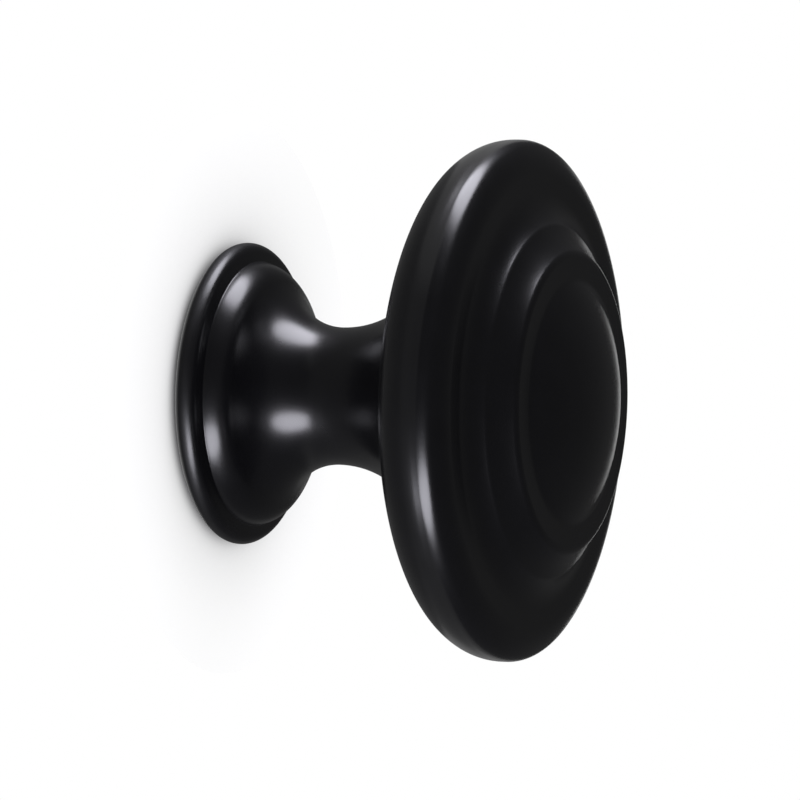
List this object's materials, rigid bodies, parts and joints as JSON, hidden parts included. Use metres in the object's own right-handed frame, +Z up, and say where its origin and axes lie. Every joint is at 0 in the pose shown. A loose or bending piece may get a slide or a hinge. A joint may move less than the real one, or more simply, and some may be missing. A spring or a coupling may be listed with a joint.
{
  "type": "cabinet knob",
  "caption": "Round one-piece cabinet knob with a stepped, ringed face, a shallow crown, a slim waisted neck and a small domed foot, fixed by one screw from behind.",
  "frame": {"origin": "middle of the screw hole's mouth, on the door's face", "axes": "+Y points into the door along the screw, -Y out towards the hand, +Z up, +X to the right as seen from the room"},
  "size_m": [0.032, 0.0246, 0.032],
  "materials": {
    "casting": "satin black coat on die-cast zinc alloy"
  },
  "bodies": {
    "root": {"knob": "casting"}
  },
  "joints": []
}
